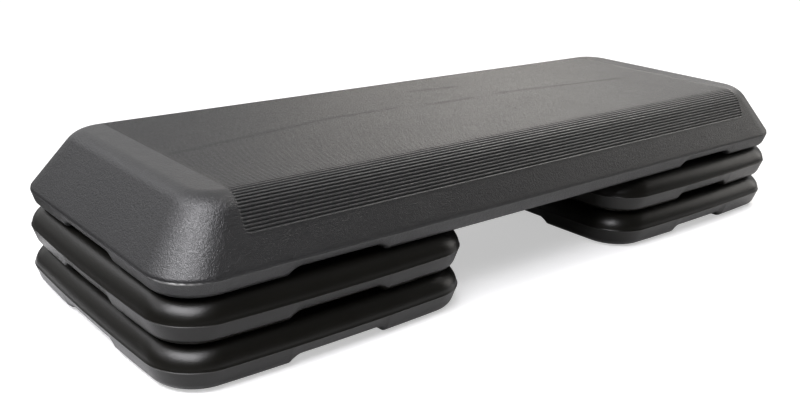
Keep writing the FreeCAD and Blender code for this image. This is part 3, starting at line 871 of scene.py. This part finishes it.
SKIRT_TOP, PLATFORM_SKIRT_LEAN, PLATFORM_RIM_R, PLATFORM_RIM_WIDTH = (0.57, 1.9), 6.0, 11.0, 54.0
PLATFORM_UNDERSIDE_INSET = 60


def groove_share(place, run):
    """How much of its full depth a groove has at a place along the platform."""
    past = max(run - RIBBED_RUN + RIBBED_CORNER_R, 0.0)
    reach = RIBBED_HALF - RIBBED_CORNER_R + math.sqrt(max(RIBBED_CORNER_R ** 2 - past ** 2, 0.0))
    return limited((reach - abs(place)) / PANEL_FADE)


def deck_ring(run, depth):
    """Ring at a run over the deck, shoulder or slope, sunk by depth where the grooves are."""
    reach, z, angle = section(run)
    if run <= FLAT_Y:
        half_x = blend(RIBBED_HALF + PANEL_FADE, FLAT_X, run / FLAT_Y)
        radius = blend(STRIP_CORNER_R, DECK_CORNER_R, run / FLAT_Y)
    else:
        half_x = end_reach(z)
        radius = corner_radius(half_x, z)
    ring = rounded_ring(half_x, reach, radius, z, PLATFORM_SIDES, (RIB_DETAILS[-1], 0.0))
    if depth:
        for point, (number, place) in zip(ring, PLATFORM_SPOTS):
            if place is not None and number % 2 == 0:
                inward = -(OUTWARD[number] * math.cos(angle) + Vector((0, 0, math.sin(angle))))
                point += inward * (depth * groove_share(place, run))
    return ring


def skirt_ring(inset, z):
    """Ring of the lip, seam or skirt, lifted at the finger gaps."""
    half_x, half_y = PLATFORM_LENGTH / 2 - inset, PLATFORM_WIDTH / 2 - inset
    ring = rounded_ring(half_x, half_y, PLATFORM_CORNER_R - inset, z, PLATFORM_SIDES)
    for point, (number, place) in zip(ring, PLATFORM_SPOTS):
        if z < PLATFORM_PARTING and place is not None:
            distance = abs(place) - RISER_SPACING / 2 if number % 2 == 0 else place
            point.z = lifted(z, finger_lift(distance), PLATFORM_PARTING)
    return ring


def platform_rings():
    """All rings of the platform, from the middle of the deck to that of its underside, and their points."""
    runs = []
    for number in range(int(RIBBED_RUN / RIB_PITCH - 0.5) + 1):
        middle = (number + 0.5) * RIB_PITCH
        full = blend(DECK_DEPTH, GROOVE_DEPTH, limited((middle - FLAT_Y + DEEPENING / 2) / DEEPENING))
        runs += [(middle + offset, share * full) for offset, share in GROOVE_SHAPE]
    runs += [(middle + offset, -PANEL_BEAD_RISE) for offset in PANEL_BEAD]
    for step in range(SLOPE_STEPS + 1):
        runs.append((blend(middle + RIB_PITCH, RUN_TO_LIP - LIP_ROUNDING, step / SLOPE_STEPS), 0.0))
    rings = [deck_ring(*run) for run in runs]
    points = [FLAT_POINTS if run < FLAT_Y - FLAT_MARGIN else SLOPE_POINTS for run, _ in runs]
    lip = [(LIP_EDGE_INSET, LIP_TOP + LIP_EDGE_RISE)]
    lip += [(inset, PLATFORM_PARTING + rise) for inset, rise in LIP_FOOT]
    skirt = soften([(SKIRT_TOP[0], PLATFORM_PARTING - SKIRT_TOP[1]), (PLATFORM_SKIRT_LEAN, 0, PLATFORM_RIM_R),
                    (PLATFORM_RIM_WIDTH, 0)], 8)
    rings += [skirt_ring(inset, z) for inset, z in lip + skirt]
    half_x, half_y = (size / 2 - PLATFORM_UNDERSIDE_INSET for size in (PLATFORM_LENGTH, PLATFORM_WIDTH))
    rings.append(rounded_ring(half_x, half_y, LEAST_CORNER_R, 0.0, PLATFORM_SIDES))
    return rings, points + [SKIRT_POINTS] * (len(rings) - len(points))


deck_rings, deck_points = platform_rings()
print("the platform has", len(deck_rings), "rings")

# %% [markdown]
# The innermost ring is a strip about 1 mm wide along the middle of the deck. A single face with so many
# corners would shade badly, so the strip is closed by a ladder of quads between its front and rear points.
#
# The pale ragged flash sits on the seam at the near left corner, where the mould halves leaked. Faint dark
# streaks lie along the deck: there the wall sank as it cooled. The shallow dents are not modelled, so their
# darker look is painted shade. Both are marked on the mesh for the material to use, and so is the depth in
# the grooves, which the material darkens as painted shade.

# %% Marks on the platform
PLATFORM_BASE = 103.6
STREAKS = (((-438, -12), (-338, 4), (-198, 25), (-80, 24)), ((-42, 15), (55, 15)), ((-13, 93), (69, 84)),
           ((100, 18), (363, -9)))
STREAK_WIDTH, DECK_SKIN = 4.0, 3
RIBS_ABOVE = 50
FLASH_CORNER, FLASH_REACH = Vector((-532, -184)), 20
FLASH_WAVE, FLASH_DROP, FLASH_SWING, FLASH_WIDTH, FAINTEST_FLASH = 5, 0.4, 0.8, 0.8, 0.04
RAG_LEVEL, RAG_SWING = 0.7, 1.2


def sink_shade_strength(at):
    """Strength of the painted shade of the sink streaks at a place on the deck."""
    if at.z < PLATFORM_BASE + DECK_TOP - DECK_SKIN:
        return 0.0
    spot, strength = Vector((at.x, at.y)), 0.0
    for streak in STREAKS:
        for start, end in zip(streak, streak[1:]):
            start, along = Vector(start), Vector(end) - Vector(start)
            share = limited((spot - start).dot(along) / along.length_squared)
            strength = max(strength, fade_out((spot - start - along * share).length, STREAK_WIDTH))
    return strength


def groove_depth(at):
    """Share of a groove's depth at which a point lies, on the ribbed panel only; the material paints shade by
    it.
    """
    y, z = abs(at.y), at.z - PLATFORM_BASE
    if abs(at.x) > RIBBED_HALF or z < RIBS_ABOVE:
        return 0.0
    if y <= FLAT_Y:
        below = DECK_TOP - z
    elif math.atan2(z - SIDE_CENTRE_Z, y - FLAT_Y) > SIDE_ANGLE:
        below = SIDE_SHOULDER_R - math.hypot(y - FLAT_Y, z - SIDE_CENTRE_Z)
    else:
        below = (slope_reach(PLATFORM_WIDTH / 2, SIDE_ANGLE, z) - y) * math.cos(SIDE_ANGLE)
    return limited(below / GROOVE_DEPTH)


def flash_strength(at):
    """Pale torn flash along the seam, strongest round the near left corner."""
    wave = noise.noise(Vector((at.x, at.y, 0)) / FLASH_WAVE)
    band = fade_out(at.z - PLATFORM_BASE - PLATFORM_PARTING + FLASH_DROP - FLASH_SWING * wave, FLASH_WIDTH)
    corner = fade_out((Vector((at.x, at.y)) - FLASH_CORNER).length, FLASH_REACH)
    rag = limited(RAG_LEVEL + RAG_SWING * wave)
    return band * max(corner * rag, FAINTEST_FLASH)


print("sink streaks:", len(STREAKS))

# %% The platform
PLATFORM_SLOT_TOP, PLATFORM_SLOT_ROWS, MIDDLE_RECESS_HALF = 86.4, (-92, 0, 92), 125.0
PLATFORM_SAG = (8, 300)  # the upper height is out of reach, because the deck sags too


def ladder_cap(numbers):
    """Faces that close the narrow strip in the middle of the deck."""
    on_sides = [number for number in numbers if PLATFORM_SPOTS[number][1] is not None]
    front, rear = ([number for number in on_sides if PLATFORM_SPOTS[number][0] == side] for side in (0, 2))
    steps = zip(front, front[1:], rear[-2::-1], rear[::-1])
    right_end = [number for number in numbers if front[-1] <= number <= rear[0]]
    left_end = [number for number in numbers if number >= rear[-1]] + [front[0]]
    return [*steps, right_end, left_end]


mesh = bmesh.new()
stack(mesh, deck_rings, ladder_cap(deck_points[0]), deck_points)
platform = piece("platform_moulding", mesh, charcoal_hdpe)
centres = (-RISER_SPACING / 2, RISER_SPACING / 2)
feet_under = [(centre + x, y) for centre in centres for x, y in FOOT_PLACES]
recesses = [recess_shape(centre, NEST_HALF) for centre in centres] + [recess_shape(0, MIDDLE_RECESS_HALF)]
cut_out(platform, recesses)
slots = [welded_slot(x, y, PLATFORM_SLOT_TOP) for x in (*centres, 0) for y in PLATFORM_SLOT_ROWS]
cut_out(platform, slots + [foot_pocket(*spot) for spot in feet_under])
platform.data.transform(Matrix.Translation(Vector((0, 0, PLATFORM_BASE)) * MM))
shrink(platform, PLATFORM_BASE + PLATFORM_SAG[0], PLATFORM_BASE + PLATFORM_SAG[1])
# Painted shade: the material darkens the plastic by the groove mark.
mark(platform, "groove", groove_depth)
# Painted shade again, along the sink streaks.
mark(platform, "sink", sink_shade_strength)
mark(platform, "flash", flash_strength)
smooth(platform, degrees=60)
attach(platform, "deck")
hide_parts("platform")
print(platform.name, len(platform.data.polygons), "faces")

# %% [markdown]
# ## Feet
#
# Each foot is a rubber button that is pushed into its pocket from below until the barb on its stem snaps in
# behind the wall. It is turned about its own axis, so a profile spun round is the quickest true shape. Two
# fine rings are moulded into its sole for grip.

# %% Rubber feet
FOOT_STEPS = 40
RISER_WALL, PLATFORM_WALL = 3.0, 3.6


def foot_profile(wall):
    """(radius, height) of a foot from its sole to the tip of its barb."""
    sole = [(0.0, -1.6), (3.4, -1.6), (3.8, -2.0), (6.6, -2.0), (7.0, -1.5), (8.0, -1.5), (8.4, -2.0)]
    flange = [(12.2, -2.0), (12.77, -1.77), (13.0, -1.2), (13.0, 2.7), (12.7, 3.0), (4.4, 3.0), (4.0, 3.4)]
    barb = [(4.0, 3.15), (5.6, 3.15), (6.0, 3.6), (3.3, 7.8), (2.7, 8.15), (0.0, 8.15)]
    return sole + flange + [(radius, height + wall) for radius, height in barb]


def foot(name, body_name, x, y, z, wall):
    """One foot in place of its CAD node."""
    mesh = bmesh.new()
    rows = []
    for radius, height in foot_profile(wall):
        row = []
        for step in range(FOOT_STEPS if radius else 1):
            turn = 2 * math.pi * step / FOOT_STEPS
            spot = Vector((x + radius * math.cos(turn), y + radius * math.sin(turn), z + height))
            row.append(mesh.verts.new(spot * MM))
        rows.append(row)
    for lower, upper in zip(rows, rows[1:]):
        for step in range(FOOT_STEPS):
            after = (step + 1) % FOOT_STEPS
            corners = [lower[step % len(lower)], lower[after % len(lower)],
                       upper[after % len(upper)], upper[step % len(upper)]]
            mesh.faces.new(list(dict.fromkeys(corners)))
    body = piece(name.replace("_foot", "_button"), mesh, foot_rubber)
    smooth(body, degrees=30)
    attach(body, body_name)
    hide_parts(name)


CORNERS = {f"{depth}_{side}": (a * FOOT_PLACE, b * FOOT_PLACE)
           for depth, b in (("front", -1), ("rear", 1)) for side, a in (("left", -1), ("right", 1))}
for side, centre in zip(("left", "right"), centres):
    for corner, (x, y) in CORNERS.items():
        for level in ("lower", "upper"):
            base = RISER_BASE[level]
            foot(f"{side}_{level}_{corner}_foot", f"{side}_{level}", centre + x, y, base, RISER_WALL)
        foot(f"platform_{side}_end_{corner}_foot", "deck", centre + x, y, PLATFORM_BASE, PLATFORM_WALL)
